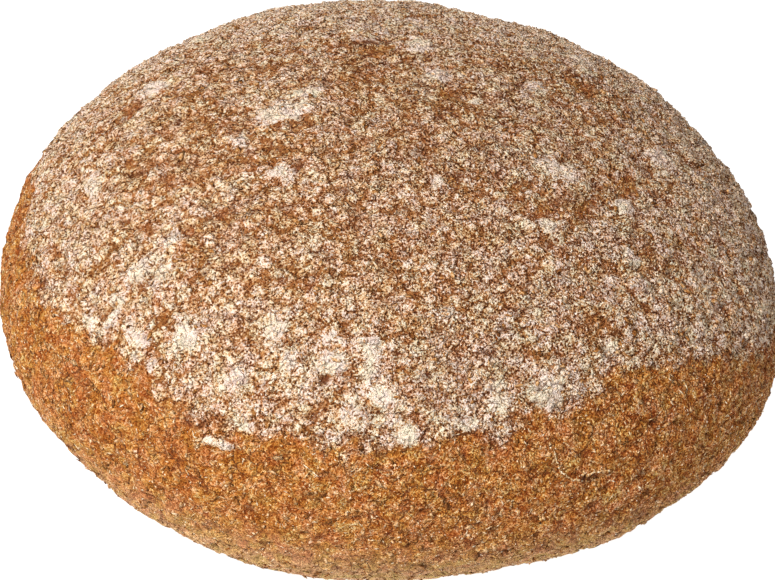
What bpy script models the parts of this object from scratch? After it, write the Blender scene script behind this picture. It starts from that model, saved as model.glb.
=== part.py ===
"""A round barley sourdough loaf, shaped by hand and baked free-standing.

The loaf is one solid piece. It starts as a turned form: a flat base, a soft heel, sides that swell
out to the girth, and a broad dome. Then it is made uneven in the way a hand-shaped dough is: the
girth and the base run out of round, and shallow lumps lie under the whole skin.

Blender 4.5, metres, +Z up. The origin lies on the floor, in the middle of the loaf's box.
"""

import math

import bmesh
import bpy
from mathutils import Vector, noise

# Driving dimensions, in metres.
WIDTH = 0.220
HEIGHT = 0.0972
GIRTH_HEIGHT = 0.0300
BASE_WIDTH = 0.179
HEEL_WIDTH = 0.007

# How square each curve of the half section is: 2 is an ellipse, and more is fuller.
DOME_FULLNESS = 2.10
SIDE_FULLNESS = 2.10

# How far out of round the loaf is: lobes round it, share of the radius, and bearing of the first lobe.
GIRTH_WAVES = ((2, 0.013, -5.0), (3, 0.009, -27.0), (5, 0.005, -31.0))
BASE_WAVES = ((2, 0.011, -2.0), (3, 0.031, 15.0))

# The shallow lumps under the skin: how deep they are, how far apart, and how soon they start above the floor.
LUMP_DEPTH = 0.0011
LUMP_SPACING = 0.045
LUMP_FREE_HEIGHT = 0.012

# How quickly the base's waves fade out between the floor and the girth.
BASE_WAVE_FADE = 1.5

# How finely the form is turned, and how close together two points are one point.
STEPS_ROUND = 116
DOME_RINGS = 22
SIDE_RINGS = 8
BASE_RINGS = 3
HEEL_RINGS = 3
TOLERANCE = 0.0001

CRUST_BROWN = (0.45, 0.25, 0.13)
CRUST_ROUGHNESS = 0.85


def superellipse(turn, fullness):
    """Across and up, each from 0 to 1, for a turn from 0 at the girth to a right angle at the pole."""
    across = max(math.cos(turn), 0.0) ** (2 / fullness)
    up = max(math.sin(turn), 0.0) ** (2 / fullness)
    return across, up


def half_section():
    """Radius and height of each ring, from the top of the dome down to the middle of the base."""
    girth_radius, base_radius = WIDTH / 2, BASE_WIDTH / 2
    rings = []
    for i in range(DOME_RINGS):
        across, up = superellipse(math.pi / 2 * (1 - i / DOME_RINGS), DOME_FULLNESS)
        rings.append((girth_radius * across, GIRTH_HEIGHT + (HEIGHT - GIRTH_HEIGHT) * up))
    # The side is the start of a second curve, which would close well below the floor.
    base_turn = math.acos((base_radius / girth_radius) ** (SIDE_FULLNESS / 2))
    full_depth = GIRTH_HEIGHT / superellipse(base_turn, SIDE_FULLNESS)[1]
    for i in range(SIDE_RINGS + 1):
        across, down = superellipse(base_turn * i / SIDE_RINGS, SIDE_FULLNESS)
        rings.append((girth_radius * across, GIRTH_HEIGHT - full_depth * down))
    rings += [(base_radius * (1 - i / BASE_RINGS), 0.0) for i in range(1, BASE_RINGS + 1)]
    return rings


def turn_section(bm):
    """Spins the half section into a closed form, and softens the heel where the side meets the base."""
    points = [bm.verts.new((radius, 0.0, height)) for radius, height in half_section()]
    edges = [bm.edges.new(pair) for pair in zip(points, points[1:])]
    bmesh.ops.spin(
        bm, geom=points + edges, cent=(0, 0, 0), axis=(0, 0, 1),
        angle=math.tau, steps=STEPS_ROUND, use_merge=True,
    )
    bmesh.ops.remove_doubles(bm, verts=bm.verts, dist=TOLERANCE)

    def on_heel(vert):
        return abs(vert.co.z) < TOLERANCE and abs(vert.co.xy.length - BASE_WIDTH / 2) < TOLERANCE

    heel = [edge for edge in bm.edges if all(on_heel(vert) for vert in edge.verts)]
    bmesh.ops.bevel(
        bm, geom=heel, offset=HEEL_WIDTH, offset_type="OFFSET", affect="EDGES",
        segments=HEEL_RINGS, profile=0.5, material=-1,
    )
    bmesh.ops.recalc_face_normals(bm, faces=bm.faces)


def out_of_round(bearing, waves):
    """The share of the radius that these waves add at this bearing."""
    return sum(share * math.cos(lobes * (bearing - math.radians(first))) for lobes, share, first in waves)


def make_uneven(bm):
    """Draws the turned form out of round, then raises and sinks its skin in shallow lumps."""
    for vert in bm.verts:
        bearing = math.atan2(vert.co.y, vert.co.x)
        below_girth = max(0.0, 1 - vert.co.z / GIRTH_HEIGHT) ** BASE_WAVE_FADE
        stretch = 1 + out_of_round(bearing, GIRTH_WAVES) + below_girth * out_of_round(bearing, BASE_WAVES)
        vert.co.xy *= stretch
    bm.normal_update()
    moves = []
    for vert in bm.verts:
        above_floor = min(1.0, vert.co.z / LUMP_FREE_HEIGHT)
        lump = noise.noise(vert.co / LUMP_SPACING) * LUMP_DEPTH * above_floor
        moves.append(vert.normal * lump)
    for vert, move in zip(bm.verts, moves):
        vert.co += move


def centre_on_floor(bm):
    """Moves the form so that the middle of its box is over the origin."""
    across = [vert.co.x for vert in bm.verts]
    deep = [vert.co.y for vert in bm.verts]
    middle = Vector((min(across) + max(across), min(deep) + max(deep), 0)) / 2
    bmesh.ops.translate(bm, verts=bm.verts, vec=-middle)


def crust_material():
    material = bpy.data.materials.new("baked_crust")
    material.use_nodes = True
    shader = material.node_tree.nodes["Principled BSDF"]
    shader.inputs["Base Color"].default_value = (*CRUST_BROWN, 1)
    shader.inputs["Roughness"].default_value = CRUST_ROUGHNESS
    shader.inputs["Metallic"].default_value = 0
    material.diffuse_color = (*CRUST_BROWN, 1)
    return material


def make_loaf():
    bm = bmesh.new()
    turn_section(bm)
    make_uneven(bm)
    centre_on_floor(bm)
    mesh = bpy.data.meshes.new("loaf")
    bm.to_mesh(mesh)
    bm.free()
    mesh.materials.append(crust_material())
    mesh.shade_smooth()
    loaf = bpy.data.objects.new("loaf", mesh)
    bpy.context.scene.collection.objects.link(loaf)
    return loaf


for leftover in list(bpy.data.objects):
    bpy.data.objects.remove(leftover)
make_loaf()
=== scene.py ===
import math

import bmesh
import bpy
import numpy as np
from mathutils import Matrix, Vector, noise
from mathutils.kdtree import KDTree


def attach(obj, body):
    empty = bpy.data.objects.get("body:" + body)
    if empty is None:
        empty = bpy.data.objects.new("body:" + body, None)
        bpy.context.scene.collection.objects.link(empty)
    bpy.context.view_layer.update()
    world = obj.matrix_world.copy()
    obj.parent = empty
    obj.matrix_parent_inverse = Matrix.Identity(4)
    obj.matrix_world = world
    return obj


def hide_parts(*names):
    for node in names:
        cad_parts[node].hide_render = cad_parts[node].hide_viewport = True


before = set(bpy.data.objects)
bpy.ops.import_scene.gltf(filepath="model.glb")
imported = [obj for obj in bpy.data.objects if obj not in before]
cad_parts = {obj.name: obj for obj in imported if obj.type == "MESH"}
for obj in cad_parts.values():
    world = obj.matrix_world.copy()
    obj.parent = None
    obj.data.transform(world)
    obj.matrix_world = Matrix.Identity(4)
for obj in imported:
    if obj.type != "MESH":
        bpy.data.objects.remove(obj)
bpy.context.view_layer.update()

# ---------------------------------------------------------------------------------------------------
# The crust. A hand-shaped whole-grain dough bakes to a dry brown skin that is uneven at every scale:
# broad lumps, scales, torn pits where gas broke out, and a web of fine cracks in the skin and its flour.

MM = 0.001
CRUST_FACET = 1.23 * MM
# Each kind of unevenness: how far apart, how deep, and which draw of the noise it takes.
LUMPS = (
    (28 * MM, 0.75 * MM, 3), (11 * MM, 0.50 * MM, 7), (4 * MM, 0.25 * MM, 11), (2.2 * MM, 0.20 * MM, 17),
)
# The skin is crazed into scales that stand a little proud of the furrows between them.
SCALES = ((8 * MM, 0.65 * MM, 51), (3.8 * MM, 0.52 * MM, 57))
FURROW = 0.22
# Torn pits where gas broke out, which run level round the side.
PIT_SPACING = 3.6 * MM
PIT_DEPTH = 0.75 * MM
PIT_FLATNESS = 2.0
# How much painted shade darkens the torn pits.
PIT_SHADE = 0.4
# Single hollows and bare streaks: place, length round the loaf, width and depth, all in millimetres, and
# how much painted shade darkens each one.
HOLLOWS = (
    (55, -94, 43, 7, 2.6, 1.0, 1.0), (-15, -91, 68, 3, 3, 0.8, 0.9), (1, -100, 60, 5, 3, 0.6, 0.2),
    (5, -96, 63, 2, 2, 0.8, 1.0), (67, -55, 75, 2, 2, 0.8, 1.0), (38, -89, 63, 3, 2, 0.6, 0.7),
    (-6, 29, 95, 26, 2, 0.8, 0.9), (-8, 23, 95, 14, 10, 0.5, 0.3), (-7, 14, 96, 22, 2, 0.8, 0.8),
    (6, 20, 96, 4, 3, 0.7, 0.9), (12, 0, 97, 8, 5, 0.4, 0.3), (11, -11, 97, 9, 2, 0.6, 0.8),
    (15, -36, 93, 4, 5, 0.6, 0.5), (-45, -16, 92, 12, 3, 0.5, 0.3), (-26, -18, 95, 3, 7, 0.7, 0.5),
    (-38, 15, 93, 9, 2, 0.5, 0.4), (-29, 40, 91, 4, 6, 0.4, 0.4), (-32, -27, 93, 10, 2, 0.6, 0.8),
    (-26, -34, 93, 2, 4, 0.7, 0.9), (-74, 5, 82, 8, 8, 0.4, 0.3), (-72, -20, 81, 8, 5, 0.4, 0.3),
    (-44, -48, 85, 7, 6, 0.4, 0.3), (-53, -51, 82, 6, 5, 0.5, 0.3), (-71, -42, 77, 3, 4, 0.6, 0.7),
    (-48, -59, 80, 3, 9, 0.4, 0.2), (-73, -65, 64, 3, 6, 0.5, 0.3), (-58, -72, 69, 4, 5, 0.5, 0.2),
    (39, -41, 89, 10, 4, 0.5, 0.4), (51, -35, 87, 14, 5, 0.5, 0.4), (33, -34, 91, 9, 4, 0.4, 0.4),
    (62, -21, 86, 15, 7, 0.4, 0.3), (48, 22, 90, 19, 8, 0.4, 0.2), (67, -43, 79, 9, 3, 0.6, 0.4),
    (-17, -107, 42, 4, 3, 0.8, 0.5), (-7, -107, 41, 4, 2, 0.7, 0.5), (-12, -108, 34, 3, 2, 0.6, 0.5),
    (-14, -108, 29, 3, 2, 0.7, 0.6), (-32, -105, 34, 3, 3, 0.8, 0.6), (-9, -104, 51, 3, 3, 0.7, 0.5),
    (-24, -102, 51, 3, 4, 0.6, 0.4), (0, -103, 55, 3, 2, 0.6, 0.6), (-58, -80, 45, 5, 2, 0.6, 0.4),
    (80, -66, 46, 5, 2, 0.6, 0.5), (30, 92, 55, 10, 2, 0.7, 0.6), (-70, 70, 48, 8, 2, 0.6, 0.5),
    (96, 30, 40, 7, 2, 0.6, 0.5), (50, 40, 88, 12, 2, 0.6, 0.7), (0, 85, 68, 6, 5, 0.5, 0.4),
)
# Single lumps of caked flour: place, length round the loaf and width in millimetres, and how thick.
CAKES = (
    (-3, -85, 74, 6, 7, 0.9), (-4, -90, 70, 4, 5, 0.6), (0, -94, 66, 7, 6, 0.9), (7, -100, 59, 6, 7, 0.8),
    (-14, -82, 75, 3, 3, 0.6), (-13, -88, 71, 8, 6, 0.7), (-7, -98, 62, 9, 8, 0.3),
    (-24, -87, 69, 4, 9, 0.4), (-28, -80, 74, 6, 7, 0.5), (-37, -88, 64, 7, 5, 0.6),
    (-51, -78, 68, 9, 7, 0.6), (-64, -74, 63, 9, 5, 0.5), (-64, -77, 60, 3, 3, 0.6),
    (-59, -80, 60, 3, 5, 0.5), (-70, -63, 67, 5, 4, 0.5), (-78, -64, 60, 7, 3, 0.5),
    (-71, -67, 64, 3, 7, 0.5), (-66, -58, 73, 6, 7, 0.5), (-59, -61, 75, 4, 5, 0.4),
    (-57, -52, 79, 4, 6, 0.6), (-82, -24, 75, 12, 6, 0.4), (-32, -12, 95, 9, 17, 0.5),
    (-26, -3, 96, 7, 8, 0.5), (-30, -36, 92, 9, 6, 0.5), (-43, -21, 92, 10, 4, 0.4),
    (-69, 14, 83, 9, 10, 0.5), (4, 27, 95, 8, 9, 0.6), (10, 10, 96, 9, 8, 0.5), (20, -2, 96, 4, 5, 0.5),
    (37, 11, 94, 6, 7, 0.4), (42, -25, 91, 8, 16, 0.4), (61, -30, 85, 8, 6, 0.7), (40, -46, 88, 4, 7, 0.5),
    (11, -37, 94, 4, 5, 0.5), (72, -3, 83, 8, 9, 0.4), (51, 39, 86, 10, 10, 0.4), (62, -46, 81, 2, 5, 0.9),
    (64, -48, 79, 4, 2, 0.9), (28, -88, 67, 6, 4, 0.6), (41, -86, 64, 11, 9, 0.6), (30, -91, 64, 6, 6, 0.5),
    (22, -96, 61, 7, 4, 0.5), (58, -72, 70, 5, 4, 0.4), (15, -75, 80, 5, 4, 0.3), (-41, -97, 50, 9, 3, 0.5),
    (-34, -96, 55, 5, 3, 0.4), (20, 70, 78, 8, 5, 0.6), (-60, 50, 77, 8, 6, 0.6), (70, 55, 72, 7, 5, 0.6),
    (-10, 88, 66, 8, 5, 0.6),
)
CAKE_HEIGHT = 0.8 * MM
CAKE_FLOUR = 0.7
# How much of the flour a hollow has lost, and how far thick flour lifts the skin.
HOLLOW_LOSS = 0.85
FLOUR_HEIGHT = 0.35 * MM
# The unevenness dies out towards the flat sole over this height.
FLOOR_FADE = 5 * MM
# The finer patterns of the skin, by how far apart each one's cells lie. Real flour dust and ground grain are
# finer than the grit and the grain here, which are drawn as coarse as they need to be to show.
BEND_SPACING = 2.2 * MM
BEND_REACH = 2.4 * MM
PATCH_SPACING = 6 * MM
HUE_SPACING = 4.5 * MM
GRIT_SPACING = 0.55 * MM
GRAIN_SPACING = 0.44 * MM
CLOD_SPACING = 2.4 * MM
CELL_SPACING = 4.2 * MM
PUFF_SPACING = 2.4 * MM
TEAR_SPACING = 11 * MM
# The skin grows paler from the top of the heel down to its foot, partly as a lighter bake and partly as
# painted bounce light from the floor. The sole is brown up to its flat height, and pale from its edge up.
HEEL_TOP = 34 * MM
HEEL_FOOT = 2 * MM
HEEL_PALENESS_AND_BOUNCE_LIGHT = 0.95
SOLE_FLAT = 0.3 * MM
SOLE_EDGE = 1.6 * MM
GRIT_RISE = 1.2 * MM
# The grit stands out this many times as much on the right of the loaf, past this far from its middle: in its
# bumps, and as painted shade and highlight in its colour.
HARSHEST_GRIT_AND_SHADE = 1.55
GRIT_AND_SHADE_REACH = 60 * MM

# Where the flour ends on the side: bearing in degrees and height above the base in millimetres.
FLOUR_LINE = (
    (-180, 58), (-163, 55), (-150, 57), (-131, 60), (-122, 55), (-115, 50), (-108, 55), (-88, 57),
    (-75, 58), (-62, 63), (-47, 63), (-37, 60), (-20, 46), (0, 44), (40, 50), (80, 47), (120, 52),
    (150, 50),
)
FLOUR_LINE_RAG = 4.2 * MM
FLOUR_LINE_SOFT = 2.2 * MM
LEAST_FLOUR = 0.14
THICK_WEIGHT = 0.4
THIN_WEIGHT = -0.65

# Places where the flour lies thicker or thinner, as seen from above: millimetres right of and behind
# the middle of the loaf, millimetres across, and how much is there or missing.
THICK_FLOUR = (
    (-34, -8, 13, 0.40), (-31, 7, 10, 0.25), (-3, -85, 11, 0.55), (1, -93, 12, 0.50), (-15, -88, 12, 0.40),
    (-28, -79, 11, 0.30), (-50, -78, 13, 0.35), (-66, -58, 14, 0.30), (-39, -89, 10, 0.35),
    (-66, -73, 9, 0.35), (6, -100, 9, 0.55), (30, -17, 12, 0.25), (43, -25, 12, 0.30), (73, -3, 12, 0.30),
    (61, -30, 9, 0.40), (61, -47, 7, 0.60), (40, -85, 15, 0.35), (48, -84, 10, 0.35), (25, -96, 9, 0.40),
    (-87, -21, 22, 0.25), (-78, -44, 18, 0.20), (10, 10, 10, 0.20), (21, 18, 12, 0.20), (-10, -99, 8, 0.30),
    (17, -89, 12, 0.20), (83, -12, 16, 0.20), (88, -43, 18, 0.20), (-58, -50, 12, 0.20),
)
THIN_FLOUR = (
    (-53, -11, 12, 0.30), (-66, -22, 12, 0.30), (-52, -29, 15, 0.25), (-36, -29, 16, 0.25),
    (-26, -28, 12, 0.30), (-51, -54, 8, 0.35), (-40, -81, 10, 0.35), (13, 2, 10, 0.30), (38, -43, 10, 0.35),
    (46, -38, 8, 0.40), (-3, -66, 14, 0.10), (11, -33, 12, 0.20), (8, -23, 12, 0.20), (-23, -55, 16, 0.10),
    (67, -42, 10, 0.50), (-15, 21, 12, 0.35), (-16, 3, 12, 0.30), (-43, -18, 10, 0.35), (-36, 14, 9, 0.35),
    (52, 15, 10, 0.30), (7, -95, 7, 0.40), (76, -37, 9, 0.30), (54, -70, 12, 0.25), (1, -101, 5, 0.90),
    (35, -62, 16, 0.10),
)


def noise_at(point, spacing, draw):
    """Smooth noise from -1 to 1, with lumps this far apart. Each draw is a noise of its own."""
    return noise.noise(point / spacing + Vector((draw * 7.31, draw * 3.17, draw * 5.77)))


def smooth_step(low, high, value):
    """From 0 at low to 1 at high, easing in and out."""
    share = min(max((value - low) / (high - low), 0.0), 1.0)
    return share * share * (3 - 2 * share)


def flour_line_height(bearing):
    """How high above the base the flour ends at this bearing, which is in radians."""
    bearings, heights = zip(*FLOUR_LINE)
    return MM * float(np.interp(math.degrees(bearing), bearings, heights, period=360))


def wander(point, spacing, reach, draw):
    """The point moved a little by noise, which makes a round patch ragged."""
    return point + reach * noise.noise_vector(point / spacing + Vector((draw, 0, 0)))


def scale_height(point, spacing, draw):
    """From 0 in a furrow between two scales to 1 on top of one."""
    place = wander(wander(point, spacing, 0.35 * spacing, draw), 0.4 * spacing, 0.12 * spacing, draw + 1)
    near, second = noise.voronoi(place / spacing + Vector((draw, 0, 0)))[0][:2]
    return smooth_step(0, FURROW, second - near)


def flour_amount(point, scaly):
    """How much flour lies here, from 0 for bare crust to 1 for a thick cake."""
    bearing = math.atan2(point.y, point.x)
    rag = noise_at(point, 9 * MM, 23) + 0.9 * noise_at(point, 3.2 * MM, 29)
    above_line = point.z - flour_line_height(bearing) + FLOUR_LINE_RAG * rag
    reach = smooth_step(-FLOUR_LINE_SOFT, FLOUR_LINE_SOFT, above_line)
    if reach == 0:
        return 0.0
    from_middle = math.hypot(point.x, point.y)
    # Thicker towards the rim, the back and the right, and uneven everywhere. The extra flour towards the back
    # is partly painted light: it whitens the far side, which faces away from the key light.
    amount = 0.34 + 0.12 * smooth_step(60 * MM, 98 * MM, from_middle)
    amount += 0.32 * smooth_step(10 * MM, 65 * MM, point.y)
    amount += 0.05 * smooth_step(20 * MM, 90 * MM, point.x)
    amount += 0.06 * noise_at(point, 14 * MM, 31) + 0.18 * noise_at(point, 5 * MM, 37) + 0.40 * (scaly - 0.75)
    ragged = wander(wander(point, 9 * MM, 4.5 * MM, 41), 3.5 * MM, 1.6 * MM, 43)
    for weight, patches in ((THICK_WEIGHT, THICK_FLOUR), (THIN_WEIGHT, THIN_FLOUR)):
        for x, y, across, change in patches:
            gap = math.hypot(ragged.x - x * MM, ragged.y - y * MM) / (across * MM / 2)
            if gap < 1.4:
                amount += weight * change * (1 - smooth_step(0.3, 1.4, gap))
    return reach * min(max(amount, LEAST_FLOUR), 1.0)


def in_spot(finder, x, y, z, length, width):
    """Each corner of the crust within a ragged oval spot, and how near the spot's middle it is, up to 1."""
    middle = Vector((x, y, z)) * MM
    level = Vector((-y, x, 0)).normalized()
    for point, index, _ in finder.find_range(middle, 0.8 * max(length, width) * MM):
        along = (point - middle).dot(level)
        across = (point - middle - along * level).length
        bend = 0.35 * noise_at(point, 2 * MM, 71)
        far = math.hypot(2 * along / (length * MM), 2 * across / (width * MM)) + bend
        yield index, 1 - smooth_step(0.6, 1.1, far)


def crust_form():
    """The whole loaf in even facets, still smooth."""
    form = bmesh.new()
    form.from_mesh(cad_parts["loaf"].data)
    bmesh.ops.remove_doubles(form, verts=form.verts, dist=0.01 * MM)
    mesh = bpy.data.meshes.new("crust")
    form.to_mesh(mesh)
    form.free()
    crust = bpy.data.objects.new("crust", mesh)
    bpy.context.scene.collection.objects.link(crust)
    facets = crust.modifiers.new("even facets", "REMESH")
    facets.mode = "VOXEL"
    facets.voxel_size = CRUST_FACET
    evaluated = crust.evaluated_get(bpy.context.evaluated_depsgraph_get())
    crust.data = bpy.data.meshes.new_from_object(evaluated)
    crust.modifiers.clear()
    bpy.data.meshes.remove(mesh)
    crust.data.name = "crust"
    return crust


def roughen(crust):
    """Moves the corners in and out, and writes down each one's flour, caking and painted shade for pits and
    hollows.
    """
    form = bmesh.new()
    form.from_mesh(crust.data)
    form.normal_update()
    finder = KDTree(len(form.verts))
    rises, flours, recess_shades = [], [], []
    for vert in form.verts:
        point = vert.co
        finder.insert(point, vert.index)
        heights = [scale_height(point, spacing, draw) for spacing, _, draw in SCALES]
        amount = flour_amount(point, sum(heights) / len(heights))
        level = Vector((point.x, point.y, PIT_FLATNESS * point.z))
        pit = smooth_step(0.25, 0.6, noise_at(level, PIT_SPACING, 61))
        rise = sum(depth * noise_at(point, spacing, draw) for spacing, depth, draw in LUMPS)
        rise += sum(depth * (height - 1) for (_, depth, _), height in zip(SCALES, heights))
        rises.append(rise + FLOUR_HEIGHT * amount - PIT_DEPTH * pit)
        flours.append(amount)
        recess_shades.append(PIT_SHADE * pit)
    finder.balance()
    caked = [0.0] * len(rises)
    for *spot, thick in CAKES:
        for index, inside in in_spot(finder, *spot):
            rises[index] += CAKE_HEIGHT * thick * inside
            flours[index] = max(flours[index], CAKE_FLOUR * inside)
            caked[index] = max(caked[index], thick * inside)
    for *spot, depth, dark in HOLLOWS:
        for index, inside in in_spot(finder, *spot):
            rises[index] -= depth * MM * inside
            flours[index] *= 1 - HOLLOW_LOSS * inside
            caked[index] *= 1 - inside
            recess_shades[index] = max(recess_shades[index], dark * inside)
    flour = form.verts.layers.float.new("flour")
    cake = form.verts.layers.float.new("cake")
    recess_shade = form.verts.layers.float.new("recess_shade")
    form.verts.ensure_lookup_table()
    for vert, rise in zip(form.verts, rises):
        vert[flour] = flours[vert.index]
        vert[cake] = caked[vert.index]
        vert[recess_shade] = recess_shades[vert.index]
        vert.co += vert.normal * rise * smooth_step(0, FLOOR_FADE, vert.co.z)
        vert.co.z = max(vert.co.z, 0.0)
    form.to_mesh(crust.data)
    form.free()
    crust.data.shade_smooth()


def linear(hex_colour):
    """An sRGB hex colour as the linear colour and alpha that a shader takes."""
    shares = [int(hex_colour[i:i + 2], 16) / 255 for i in (1, 3, 5)]
    return (*[s / 12.92 if s <= 0.04045 else ((s + 0.055) / 1.055) ** 2.4 for s in shares], 1.0)


def add(tree, kind, sockets=None, stops=None, **settings):
    """Adds one node. Sockets take a value or another node's output, and stops are a ramp's colours."""
    node = tree.nodes.new(kind)
    for name, value in settings.items():
        setattr(node, name, value)
    for name, value in (sockets or {}).items():
        if isinstance(value, bpy.types.NodeSocket):
            tree.links.new(value, node.inputs[name])
        else:
            node.inputs[name].default_value = value
    if stops:
        elements = node.color_ramp.elements
        while len(elements) < len(stops):
            elements.new(0.5)
        for element, (place, colour) in zip(elements, stops):
            element.position = place
            element.color = linear(colour)
    return node


def new_material(name):
    """An empty material and its node tree."""
    material = bpy.data.materials.new(name)
    material.use_nodes = True
    tree = material.node_tree
    tree.nodes.clear()
    return material, tree


def fine_grain(tree, place):
    """The finest grit, from 0 for a pit to 1 for a grain that stands proud."""
    grit = add(
        tree, "ShaderNodeTexNoise",
        {"Vector": place, "Scale": 1 / GRIT_SPACING, "Detail": 1.0, "Roughness": 0.7}).outputs[0]
    gritty = add(tree, "ShaderNodeMapRange", {0: grit, 1: 0.28, 2: 0.72, 4: 0.5}).outputs[0]
    grains = add(tree, "ShaderNodeTexVoronoi", {"Vector": place, "Scale": 1 / GRAIN_SPACING}).outputs["Color"]
    grain = add(tree, "ShaderNodeSeparateColor", {"Color": grains}).outputs[0]
    both = add(tree, "ShaderNodeMath", {0: grain, 1: 0.5, 2: gritty}, operation="MULTIPLY_ADD").outputs[0]
    return add(tree, "ShaderNodeMapRange", {0: both, 1: 0.15, 2: 0.85}).outputs[0]


def crust_material():
    """Matt brown skin, gritty and pitted, that shows through the flour wherever the cake is thin or torn."""
    material, tree = new_material("dry_baked_whole_grain_crust")
    place = add(tree, "ShaderNodeTexCoord").outputs["Object"]
    flour = add(tree, "ShaderNodeAttribute", attribute_name="flour").outputs["Fac"]
    cake = add(tree, "ShaderNodeAttribute", attribute_name="cake").outputs["Fac"]

    bend = add(tree, "ShaderNodeTexNoise", {"Vector": place, "Scale": 1 / BEND_SPACING, "Detail": 4.0})
    bend = add(
        tree, "ShaderNodeVectorMath", {0: bend.outputs["Color"], 1: (0.5, 0.5, 0.5)}, operation="SUBTRACT")
    bend = add(tree, "ShaderNodeVectorMath", {0: bend.outputs[0], "Scale": BEND_REACH}, operation="SCALE")
    bent = add(tree, "ShaderNodeVectorMath", {0: place, 1: bend.outputs[0]}, operation="ADD").outputs[0]

    patches = add(
        tree, "ShaderNodeTexNoise",
        {"Vector": bent, "Scale": 1 / PATCH_SPACING, "Detail": 3.0, "Roughness": 0.6}).outputs[0]
    # The grit stands out more and more toward the right of the loaf, away from the key light: in its bumps,
    # and as painted shade and highlight in the colour.
    across = add(tree, "ShaderNodeSeparateXYZ", {0: place}).outputs[0]
    grit_and_shade = add(
        tree, "ShaderNodeMapRange",
        {0: across, 1: -GRIT_AND_SHADE_REACH, 2: GRIT_AND_SHADE_REACH, 3: 1.0, 4: HARSHEST_GRIT_AND_SHADE}).outputs[0]
    fine = add(tree, "ShaderNodeMath", {0: fine_grain(tree, place), 1: 0.5}, operation="SUBTRACT").outputs[0]
    fine = add(tree, "ShaderNodeMath", {0: fine, 1: grit_and_shade, 2: 0.5}, operation="MULTIPLY_ADD").outputs[0]
    clods = add(tree, "ShaderNodeTexVoronoi", {"Vector": bent, "Scale": 1 / CLOD_SPACING})
    clod = add(tree, "ShaderNodeSeparateColor", {"Color": clods.outputs["Color"]}).outputs[0]
    cells = add(
        tree, "ShaderNodeTexVoronoi", {"Vector": bent, "Scale": 1 / CELL_SPACING},
        feature="DISTANCE_TO_EDGE").outputs["Distance"]
    torn = add(
        tree, "ShaderNodeTexNoise",
        {"Vector": place, "Scale": 1 / TEAR_SPACING, "Detail": 1.0}).outputs[0]

    # The skin tears into cells with bare gaps between them, and here and there into a sharp crack darkened
    # with painted shade.
    tear = add(tree, "ShaderNodeMapRange", {0: torn, 1: 0.50, 2: 0.58}).outputs[0]
    crack = add(tree, "ShaderNodeMapRange", {0: cells, 1: 0.0, 2: 0.05, 3: 1.0, 4: 0.0}).outputs[0]
    crack = add(tree, "ShaderNodeMath", {0: crack, 1: tear}, operation="MULTIPLY").outputs[0]
    gape = add(tree, "ShaderNodeMapRange", {0: torn, 1: 0.60, 2: 0.40, 3: 0.3, 4: 1.0}).outputs[0]
    gap = add(tree, "ShaderNodeMapRange", {0: cells, 1: 0.02, 2: 0.16, 3: 1.0, 4: 0.0}).outputs[0]
    gap = add(tree, "ShaderNodeMath", {0: gap, 1: gape}, operation="MULTIPLY").outputs[0]
    # It also puffs into lumps. Under flour their seams carry painted shade, and on bare skin their edges
    # carry a painted highlight.
    puffs = add(
        tree, "ShaderNodeTexNoise", {"Vector": bent, "Scale": 1 / PUFF_SPACING, "Detail": 1.0}).outputs[0]
    puffs = add(tree, "ShaderNodeMath", {0: puffs, 1: 0.5}, operation="SUBTRACT").outputs[0]
    puffs = add(tree, "ShaderNodeMath", {0: puffs}, operation="ABSOLUTE").outputs[0]
    puff = add(
        tree, "ShaderNodeMapRange", {0: puffs, 1: 0.0, 2: 0.16}, interpolation_type="SMOOTHSTEP").outputs[0]
    seam = add(tree, "ShaderNodeMapRange", {0: puffs, 1: 0.0, 2: 0.035, 3: 1.0, 4: 0.0}).outputs[0]
    seam = add(tree, "ShaderNodeMath", {0: seam, 1: clod}, operation="MULTIPLY").outputs[0]

    # How high each place stands, from 0 for the foot of a crack to about 1.
    patchy = add(tree, "ShaderNodeMapRange", {0: patches, 1: 0.28, 2: 0.72}).outputs[0]
    reach = add(tree, "ShaderNodeMapRange", {0: flour, 1: 0.01, 2: 0.12}).outputs[0]
    lift = add(tree, "ShaderNodeMapRange", {0: reach, 3: 0.25, 4: -0.36}).outputs[0]
    rise = add(tree, "ShaderNodeMath", {0: puff, 1: 0.38, 2: 0.0}, operation="MULTIPLY_ADD").outputs[0]
    rise = add(tree, "ShaderNodeMath", {0: fine, 1: 0.46, 2: rise}, operation="MULTIPLY_ADD").outputs[0]
    rise = add(tree, "ShaderNodeMath", {0: patchy, 1: 0.20, 2: rise}, operation="MULTIPLY_ADD").outputs[0]
    rise = add(tree, "ShaderNodeMath", {0: seam, 1: lift, 2: rise}, operation="MULTIPLY_ADD").outputs[0]
    rise = add(tree, "ShaderNodeMath", {0: gap, 1: -0.35, 2: rise}, operation="MULTIPLY_ADD").outputs[0]
    rise = add(tree, "ShaderNodeMath", {0: crack, 1: -0.30, 2: rise}, operation="MULTIPLY_ADD").outputs[0]

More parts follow.
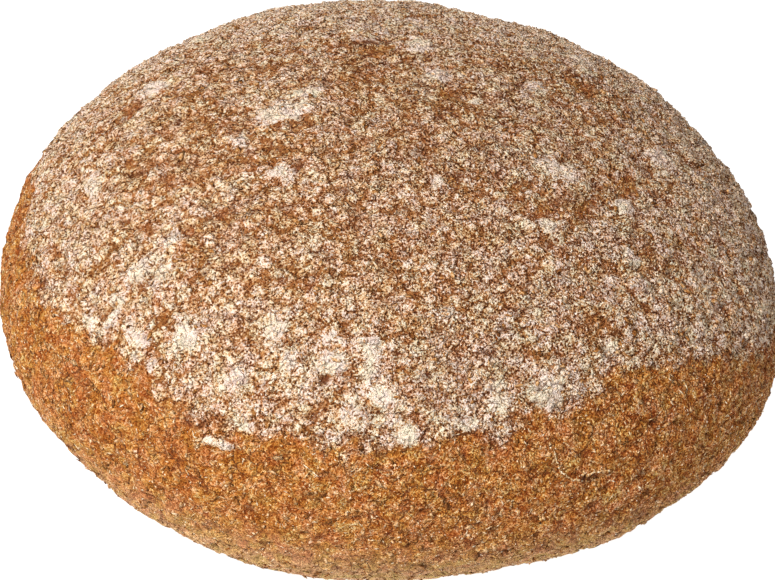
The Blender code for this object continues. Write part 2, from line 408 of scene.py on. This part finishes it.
    # How far the flour covers the skin: in patches with ragged edges, and not at all below its line.
    cover = add(tree, "ShaderNodeMath", {0: clod, 1: 0.14, 2: 0.0}, operation="MULTIPLY_ADD").outputs[0]
    cover = add(tree, "ShaderNodeMath", {0: puff, 1: 0.12, 2: cover}, operation="MULTIPLY_ADD").outputs[0]
    cover = add(tree, "ShaderNodeMath", {0: cake, 1: 0.85, 2: cover}, operation="MULTIPLY_ADD").outputs[0]
    cover = add(tree, "ShaderNodeMath", {0: flour, 1: 0.60, 2: cover}, operation="MULTIPLY_ADD").outputs[0]
    cover = add(tree, "ShaderNodeMath", {0: patches, 1: 0.25, 2: cover}, operation="MULTIPLY_ADD").outputs[0]
    cover = add(tree, "ShaderNodeMath", {0: fine, 1: 0.42, 2: cover}, operation="MULTIPLY_ADD").outputs[0]
    cover = add(tree, "ShaderNodeMath", {0: gap, 1: -0.38, 2: cover}, operation="MULTIPLY_ADD").outputs[0]
    veil = add(tree, "ShaderNodeMapRange", {0: cover, 1: 0.34, 2: 0.95}).outputs[0]
    floured = add(
        tree, "ShaderNodeValToRGB", {"Fac": veil},
        stops=((0.0, "#ac7446"), (0.2, "#c69264"), (0.45, "#e8c7a6"), (0.65, "#fae3cc"), (0.85, "#fff4ea"))
        ).outputs[0]

    # Bare skin: deep brown in its pits, partly as painted shade, gold on its grains, pale with a painted
    # highlight on its curled edges, and pale on its heel.
    tone = add(tree, "ShaderNodeMath", {0: fine, 1: 0.46, 2: -0.06}, operation="MULTIPLY_ADD").outputs[0]
    tone = add(tree, "ShaderNodeMath", {0: puff, 1: 0.14, 2: tone}, operation="MULTIPLY_ADD").outputs[0]
    tone = add(tree, "ShaderNodeMath", {0: clod, 1: 0.25, 2: tone}, operation="MULTIPLY_ADD").outputs[0]
    tone = add(tree, "ShaderNodeMath", {0: seam, 1: 0.50, 2: tone}, operation="MULTIPLY_ADD").outputs[0]
    bare = add(
        tree, "ShaderNodeValToRGB", {"Fac": tone},
        stops=((0.1, "#904a18"), (0.3, "#b77436"), (0.5, "#d39658"), (0.7, "#efc795"), (0.95, "#ffeacf"))
        ).outputs[0]
    height = add(tree, "ShaderNodeSeparateXYZ", {0: place}).outputs[2]
    # Painted bounce light from the floor, with a lighter bake: the heel pales toward its foot.
    heel = add(
        tree, "ShaderNodeMapRange", {0: height, 1: HEEL_TOP, 2: HEEL_FOOT, 4: HEEL_PALENESS_AND_BOUNCE_LIGHT},
        interpolation_type="SMOOTHSTEP").outputs[0]
    sole = add(tree, "ShaderNodeMapRange", {0: height, 1: SOLE_FLAT, 2: SOLE_EDGE}).outputs[0]
    heel = add(tree, "ShaderNodeMath", {0: heel, 1: sole}, operation="MULTIPLY").outputs[0]
    bare = add(tree, "ShaderNodeMix", {0: heel, 6: bare, 7: linear("#ffe0b4")}, data_type="RGBA").outputs[2]
    colour = add(tree, "ShaderNodeMix", {0: reach, 6: bare, 7: floured}, data_type="RGBA").outputs[2]

    # The oven has turned some places redder and left some yellower, most of all on the bare skin.
    hue = add(
        tree, "ShaderNodeTexNoise", {"Vector": bent, "Scale": 1 / HUE_SPACING, "Detail": 2.0}).outputs[0]
    hue = add(
        tree, "ShaderNodeValToRGB", {"Fac": hue},
        stops=((0.34, "#f6dad0"), (0.45, "#fff0e6"), (0.55, "#fff2d0"), (0.66, "#f2eec6"))).outputs[0]
    strength = add(tree, "ShaderNodeMapRange", {0: reach, 3: 1.0, 4: 0.55}).outputs[0]
    colour = add(
        tree, "ShaderNodeMix", {0: strength, 6: colour, 7: hue}, data_type="RGBA", blend_type="MULTIPLY"
        ).outputs[2]

    # Painted shade: the colour is darker and browner in pits and in seams under flour than on what stands
    # proud.
    depth = add(tree, "ShaderNodeMath", {0: seam, 1: lift}, operation="MULTIPLY").outputs[0]
    depth = add(tree, "ShaderNodeMath", {0: puff, 1: 0.14, 2: depth}, operation="MULTIPLY_ADD").outputs[0]
    depth = add(tree, "ShaderNodeMath", {0: fine, 1: 0.90, 2: depth}, operation="MULTIPLY_ADD").outputs[0]
    depth = add(tree, "ShaderNodeMath", {0: cake, 1: 0.45, 2: depth}, operation="MULTIPLY_ADD").outputs[0]
    depth = add(
        tree, "ShaderNodeValToRGB", {"Fac": depth},
        stops=((0.04, "#704a30"), (0.18, "#b28e6e"), (0.34, "#e4d4c2"), (0.54, "#fdf8f2"), (0.95, "#ffffff"))
        ).outputs[0]
    strength = add(tree, "ShaderNodeMapRange", {0: reach, 3: 0.4, 4: 0.9}).outputs[0]
    colour = add(
        tree, "ShaderNodeMix", {0: strength, 6: colour, 7: depth}, data_type="RGBA", blend_type="MULTIPLY"
        ).outputs[2]
    # Painted shade: the pits, hollows and cracks are darkened toward deep brown.
    recess_shade = add(tree, "ShaderNodeAttribute", attribute_name="recess_shade").outputs["Fac"]
    recess_shade = add(tree, "ShaderNodeMath", {0: crack, 1: 0.75, 2: recess_shade}, operation="MULTIPLY_ADD").outputs[0]
    recess_shade = add(tree, "ShaderNodeMath", {0: recess_shade, 1: 0.85}, operation="MINIMUM").outputs[0]
    colour = add(
        tree, "ShaderNodeMix", {0: recess_shade, 6: colour, 7: linear("#74412a")}, data_type="RGBA").outputs[2]

    bump = add(tree, "ShaderNodeBump", {"Height": rise, "Strength": 1.0, "Distance": GRIT_RISE})
    shader = add(
        tree, "ShaderNodeBsdfPrincipled",
        {"Base Color": colour, "Normal": bump.outputs[0], "Roughness": 0.85, "IOR": 1.45,
         "Specular IOR Level": 0.12})
    add(tree, "ShaderNodeOutputMaterial", {"Surface": shader.outputs[0]})
    return material


crust = crust_form()
roughen(crust)
crust.data.materials.clear()
crust.data.materials.append(crust_material())
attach(crust, "root")
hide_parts("loaf")

# ---------------------------------------------------------------------------------------------------
# Flour baked on. Coarse barley flour dusted over the proving dough cakes in the steam of the oven, and
# breaks into flakes as the loaf swells. Each flake is a thin chip that sits in the skin it grew on.

FLAKES = 14000
FLAKE_RADIUS = (0.25 * MM, 0.80 * MM)
FLAKE_THICKNESS = 0.24
FLAKE_SIDES = 7


def crust_surface():
    """The crust's corners, normals and cover by vertex, and its triangles, as arrays."""
    mesh = crust.data
    mesh.calc_loop_triangles()
    corners = np.empty(len(mesh.vertices) * 3, np.float32)
    mesh.vertices.foreach_get("co", corners)
    normals = np.empty(len(mesh.vertices) * 3, np.float32)
    mesh.vertices.foreach_get("normal", normals)
    triangles = np.empty(len(mesh.loop_triangles) * 3, np.int32)
    mesh.loop_triangles.foreach_get("vertices", triangles)
    cover = [np.empty(len(mesh.vertices), np.float32) for _ in ("flour", "cake")]
    for name, values in zip(("flour", "cake"), cover):
        mesh.attributes[name].data.foreach_get("value", values)
    return corners.reshape(-1, 3), normals.reshape(-1, 3), np.stack(cover, 1), triangles.reshape(-1, 3)


surface_corners, surface_normals, surface_cover, surface_triangles = crust_surface()


def unit(vectors):
    """The same directions, each one long."""
    return vectors / np.linalg.norm(vectors, axis=-1, keepdims=True)


def strewn(count, density, draw):
    """Points strewn over the crust as thickly as density says, each with its normal, flour and cake."""
    corners = surface_corners[surface_triangles]
    across = np.cross(corners[:, 1] - corners[:, 0], corners[:, 2] - corners[:, 0])
    flour, cake = surface_cover[surface_triangles].mean(1).T
    chance = np.linalg.norm(across, axis=1) * density(flour, cake, corners.mean(1))
    chosen = draw.choice(len(chance), count, p=chance / chance.sum())
    share = draw.dirichlet((1, 1, 1), count)[:, :, None]
    points = (corners[chosen] * share).sum(1)
    normals = unit((surface_normals[surface_triangles][chosen] * share).sum(1))
    flour, cake = (surface_cover[surface_triangles][chosen] * share).sum(1).T
    return points, normals, flour, cake


def chips(name, points, normals, radius, stretch, thickness, sides, tilt, proud, tone, draw):
    """Joins one small uneven chip at each point: a ring of corners with a peak above and one below."""
    count = len(points)
    up = unit(normals + tilt * draw.normal(size=(count, 3)))
    along = unit(np.cross(up, draw.normal(size=(count, 3))))
    aside = np.cross(up, along)
    turn = np.arange(sides) / sides * math.tau + draw.uniform(-0.25, 0.25, (count, sides))
    reach = radius[:, None] * draw.uniform(0.65, 1.2, (count, sides))
    centre = points + up * (radius * thickness * proud)[:, None]
    rim = (
        centre[:, None] + along[:, None] * (reach * stretch[:, None] * np.cos(turn))[:, :, None]
        + aside[:, None] * (reach * np.sin(turn))[:, :, None]
        + up[:, None] * (radius[:, None] * thickness * draw.uniform(-0.3, 0.3, (count, sides)))[:, :, None])
    offset = 0.35 * radius[:, None] * (
        along * draw.normal(size=(count, 1)) * stretch[:, None] + aside * draw.normal(size=(count, 1)))
    peak = centre + offset + up * (radius * thickness)[:, None]
    foot = centre - up * (radius * thickness)[:, None]
    corners = np.concatenate((rim, peak[:, None], foot[:, None]), 1)
    # None of them reaches below the sole, which lies on the floor.
    corners[:, :, 2] += np.maximum(-corners[:, :, 2].min(1, keepdims=True), 0)
    ring = np.arange(sides)
    after = (ring + 1) % sides
    above = np.stack((ring, after, np.full(sides, sides)), 1)
    below = np.stack((after, ring, np.full(sides, sides + 1)), 1)
    faces = np.concatenate((above, below))[None] + (np.arange(count) * (sides + 2))[:, None, None]
    mesh = bpy.data.meshes.new(name)
    mesh.vertices.add(corners.size // 3)
    mesh.vertices.foreach_set("co", corners.astype(np.float32).ravel())
    mesh.loops.add(faces.size)
    mesh.loops.foreach_set("vertex_index", faces.astype(np.int32).ravel())
    mesh.polygons.add(faces.size // 3)
    mesh.polygons.foreach_set("loop_start", np.arange(0, faces.size, 3, dtype=np.int32))
    mesh.update(calc_edges=True)
    mesh.attributes.new("tone", "FLOAT", "POINT").data.foreach_set(
        "value", np.repeat(tone, sides + 2).astype(np.float32))
    piece = bpy.data.objects.new(name, mesh)
    bpy.context.scene.collection.objects.link(piece)
    return piece


def speck_material(name, stops, roughness):
    """The finish of small pieces: each has its own tone, and the finest grit mottles it, darker in its pits
    as painted shade.
    """
    material, tree = new_material(name)
    place = add(tree, "ShaderNodeTexCoord").outputs["Object"]
    tone = add(tree, "ShaderNodeAttribute", attribute_name="tone").outputs["Fac"]
    fine = fine_grain(tree, place)
    mixed = add(tree, "ShaderNodeMath", {0: fine, 1: 0.9, 2: tone}, operation="MULTIPLY_ADD").outputs[0]
    mixed = add(tree, "ShaderNodeMath", {0: mixed, 1: 0.45}, operation="SUBTRACT").outputs[0]
    colour = add(tree, "ShaderNodeValToRGB", {"Fac": mixed}, stops=stops).outputs[0]
    bump = add(tree, "ShaderNodeBump", {"Height": fine, "Strength": 1.0, "Distance": 0.4 * MM})
    shader = add(
        tree, "ShaderNodeBsdfPrincipled",
        {"Base Color": colour, "Normal": bump.outputs[0], "Roughness": roughness, "Specular IOR Level": 0.1})
    add(tree, "ShaderNodeOutputMaterial", {"Surface": shader.outputs[0]})
    return material


def skewed(low, high, power, count, draw):
    """Sizes from low to high, most of them small."""
    return low + (high - low) * draw.uniform(size=count) ** power


draw = np.random.default_rng(11)
points, normals, amount, caked = strewn(
    FLAKES, lambda flour, cake, place: np.clip(flour - 0.12, 0, 1) ** 2 * (1 - 0.5 * cake), draw)
radius = skewed(*FLAKE_RADIUS, 2.2, FLAKES, draw) * (0.75 + 0.5 * amount)
tone = np.clip(0.30 + 0.50 * amount + 0.7 * caked + draw.normal(0, 0.20, FLAKES), 0, 1)
flour_flakes = chips(
    "flour_flakes", points, normals, radius, stretch=draw.uniform(0.8, 1.4, FLAKES),
    thickness=FLAKE_THICKNESS, sides=FLAKE_SIDES, tilt=0.30, proud=0.10, tone=tone, draw=draw)
# Caked flour is dead matt, cream-white where it is thick and browned by the skin where it is thin.
flour_flakes.data.materials.append(speck_material(
    "caked_barley_flour", ((0.0, "#7a4a24"), (0.3, "#bb8656"), (0.6, "#eac49c"), (0.9, "#ffe9d2")),
    0.9))
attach(flour_flakes, "root")

# ---------------------------------------------------------------------------------------------------
# Loose grains. Coarse meal that isn't caked lies between the flakes and along the edge of the flour.

GRAINS = 33000
GRAIN_RADIUS = (0.14 * MM, 0.36 * MM)
GRAIN_SIDES = 3

draw = np.random.default_rng(12)
points, normals, amount, caked = strewn(
    GRAINS, lambda flour, cake, place: (
        np.clip(flour, 0, 0.7) + 0.015 + 0.05 * np.clip(place[:, 0] / (90 * MM), 0, 1)
    ) * (1 - 0.7 * cake), draw)
radius = skewed(*GRAIN_RADIUS, 1.4, GRAINS, draw)
# The grains' tones spread wider toward the right, as painted shade and highlight away from the key light.
grit_and_shade = 1 + (HARSHEST_GRIT_AND_SHADE - 1) * np.clip(0.5 + points[:, 0] / (2 * GRIT_AND_SHADE_REACH), 0, 1)
tone = np.clip(0.42 + 0.35 * amount + 0.7 * caked + grit_and_shade * draw.normal(0, 0.26, GRAINS), 0, 1)
flour_grains = chips(
    "flour_grains", points, normals, radius, stretch=draw.uniform(0.9, 1.5, GRAINS), thickness=0.7,
    sides=GRAIN_SIDES, tilt=0.5, proud=0.45, tone=tone, draw=draw)
# Coarse meal is matt and pale, each grain a little lighter or browner than the next.
flour_grains.data.materials.append(speck_material(
    "coarse_barley_meal", ((0.0, "#8a5830"), (0.3, "#c39060"), (0.6, "#ecc59c"), (0.9, "#ffecd8")),
    0.9))
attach(flour_grains, "root")

# ---------------------------------------------------------------------------------------------------
# Crust crumbs. The bare skin is gritty: bits of husk and cracked grain stand out of it, browned by the
# oven like the skin round them.

CRUMBS = 15000
CRUMB_RADIUS = (0.16 * MM, 0.50 * MM)

draw = np.random.default_rng(13)
points, normals, _, _ = strewn(
    CRUMBS, lambda flour, cake, place: np.where(flour < 0.1, 1.0, 0.03) * (place[:, 2] > 1.2 * MM), draw)
radius = skewed(*CRUMB_RADIUS, 2.0, CRUMBS, draw)
tone = np.clip(0.48 + draw.normal(0, 0.25, CRUMBS), 0, 1)
crumbs = chips(
    "crust_crumbs", points, normals, radius, stretch=draw.uniform(1.0, 2.6, CRUMBS), thickness=0.5,
    sides=4, tilt=0.2, proud=0.0, tone=tone, draw=draw)
# Browned grain runs from dark brown to straw, and is nearly matt.
crumbs.data.materials.append(speck_material(
    "browned_husk_and_grain", ((0.0, "#8a4a18"), (0.3, "#b87636"), (0.55, "#dba262"), (0.8, "#f0c692"),
                               (1.0, "#fbdcb6")), 0.8))
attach(crumbs, "root")

# ---------------------------------------------------------------------------------------------------
# Bran. Flat brown flecks of the grain's husk lie in the dough, and those at the skin curl up a little.

BRAN = 9000
BRAN_RADIUS = (0.25 * MM, 0.80 * MM)

draw = np.random.default_rng(14)
points, normals, _, _ = strewn(
    BRAN, lambda flour, cake, place: np.where(flour < 0.1, 1.0, 0.35 * (1 - cake)) * (place[:, 2] > 1.2 * MM),
    draw)
radius = skewed(*BRAN_RADIUS, 1.8, BRAN, draw)
tone = draw.uniform(0, 1, BRAN)
bran = chips(
    "bran_flecks", points, normals, radius, stretch=draw.uniform(1.2, 2.4, BRAN), thickness=0.22,
    sides=6, tilt=0.15, proud=0.2, tone=tone, draw=draw)
# Toasted bran is mostly darker than the skin round it, and a little smoother.
bran.data.materials.append(speck_material(
    "toasted_bran", ((0.0, "#74431f"), (0.35, "#a1662f"), (0.7, "#c68f55"), (1.0, "#e6bd8e")), 0.7))
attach(bran, "root")

# ---------------------------------------------------------------------------------------------------
# Husk. Thin pale slivers of barley husk lie baked on to the bare skin. Low at the front right the skin has
# split, and the lips of the split have dried to the same pale, thin edge, made as slivers end to end.

HUSKS = 2600
HUSK_RADIUS = (0.13 * MM, 0.26 * MM)
LIP_RADIUS = (0.20 * MM, 0.36 * MM)
LIP_TONE = (0.45, 0.95)
# Each lip of the split, and each large single grain beside it, in millimetres.
LIPS = (
    ((43, -93, 54), (44, -94, 51), (47, -96, 47), (50, -96, 44)),
    ((50, -96, 44), (54, -94, 45), (60, -91, 44)),
    ((47, -97, 43), (48, -97, 43)), ((31, -103, 43), (32, -103, 43)), ((36, -102, 38), (37, -102, 38)),
    ((95, -53, 51), (95, -52, 51)),
)
LIP_SPACING = 0.35 * MM


def on_crust(line):
    """Points close together along a line of places, brought to the skin, and the normal at each."""
    found = []
    for start, end in zip(line, line[1:]):
        start, end = Vector(start) * MM, Vector(end) * MM
        for share in np.arange(0, 1, LIP_SPACING / (end - start).length):
            _, point, normal, _ = crust.closest_point_on_mesh(start.lerp(end, float(share)))
            found.append((*point, *normal))
    return found


draw = np.random.default_rng(15)
points, normals, _, _ = strewn(
    HUSKS, lambda flour, cake, place: np.where(flour < 0.1, 1.0, 0.03) * (place[:, 2] > 1.2 * MM), draw)
radius = skewed(*HUSK_RADIUS, 1.5, HUSKS, draw)
stretch = draw.uniform(2.5, 7.0, HUSKS)
tone = np.clip(0.66 + draw.normal(0, 0.22, HUSKS), 0, 1)
lips = np.array([spot for line in LIPS for spot in on_crust(line)])
points = np.concatenate((points, lips[:, :3]))
normals = np.concatenate((normals, lips[:, 3:]))
radius = np.concatenate((radius, draw.uniform(*LIP_RADIUS, len(lips))))
stretch = np.concatenate((stretch, np.full(len(lips), 1.5)))
tone = np.concatenate((tone, draw.uniform(*LIP_TONE, len(lips))))
husks = chips(
    "husk_slivers", points, normals, radius, stretch=stretch, thickness=0.9, sides=4, tilt=0.1, proud=0.2,
    tone=tone, draw=draw)
# Dry husk is the palest thing on the bare side, straw to cream, with a faint gloss.
husks.data.materials.append(speck_material(
    "pale_barley_husk", ((0.0, "#b0763c"), (0.35, "#cf9c60"), (0.65, "#ecc894"), (1.0, "#fff0d2")), 0.75))
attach(husks, "root")

# ---------------------------------------------------------------------------------------------------
# The studio: a seamless white floor, one broad soft light at the upper left, and pale light all round.

FLOOR_SIZE = 6.0
KEY_PLACE = Vector((-0.56, -0.66, 1.02))
KEY_WIDTH = 0.55
KEY_POWER = 19.2
SKY_STRENGTH = 0.45

floor_form = bmesh.new()
bmesh.ops.create_grid(floor_form, x_segments=1, y_segments=1, size=FLOOR_SIZE / 2)
floor_mesh = bpy.data.meshes.new("floor")
floor_form.to_mesh(floor_mesh)
floor_form.free()
floor = bpy.data.objects.new("floor", floor_mesh)
bpy.context.scene.collection.objects.link(floor)
floor_material, floor_tree = new_material("white_studio_floor")
floor_shader = add(
    floor_tree, "ShaderNodeBsdfPrincipled",
    {"Base Color": linear("#909090"), "Roughness": 0.9, "Specular IOR Level": 0.1,
     "Emission Color": linear("#ffffff"), "Emission Strength": 0.95})
add(floor_tree, "ShaderNodeOutputMaterial", {"Surface": floor_shader.outputs[0]})
floor_mesh.materials.append(floor_material)

key_light = bpy.data.lights.new("key", "AREA")
key_light.shape = "DISK"
key_light.size = KEY_WIDTH
key_light.energy = KEY_POWER
key = bpy.data.objects.new("key", key_light)
key.location = KEY_PLACE
key.rotation_euler = (Vector((0, 0, 0.04)) - KEY_PLACE).to_track_quat("-Z", "Y").to_euler()
bpy.context.scene.collection.objects.link(key)

world = bpy.data.worlds.new("pale_room")
world.use_nodes = True
world.node_tree.nodes["Background"].inputs["Color"].default_value = linear("#fffaf5")
world.node_tree.nodes["Background"].inputs["Strength"].default_value = SKY_STRENGTH
bpy.context.scene.world = world
bpy.context.scene.view_settings.view_transform = "Standard"

# The camera looks down on the loaf from the front with a long lens, tipped a little to one side.
CAMERA_AIM = Vector((-0.00045, 0, 0.02823))
CAMERA_DISTANCE = 0.715
CAMERA_HEIGHT_ANGLE = math.radians(37.19)
CAMERA_TIP = math.radians(3.845)
CAMERA_LENS = 114.86

camera_data = bpy.data.cameras.new("camera")
camera_data.lens = CAMERA_LENS
camera_data.sensor_width = 36
camera = bpy.data.objects.new("camera", camera_data)
away = Vector((0, -math.cos(CAMERA_HEIGHT_ANGLE), math.sin(CAMERA_HEIGHT_ANGLE)))
camera.location = CAMERA_AIM + CAMERA_DISTANCE * away
facing = (-away).to_track_quat("-Z", "Y").to_matrix()
camera.rotation_euler = (facing @ Matrix.Rotation(CAMERA_TIP, 3, "Z")).to_euler()
bpy.context.scene.collection.objects.link(camera)
bpy.context.scene.camera = camera
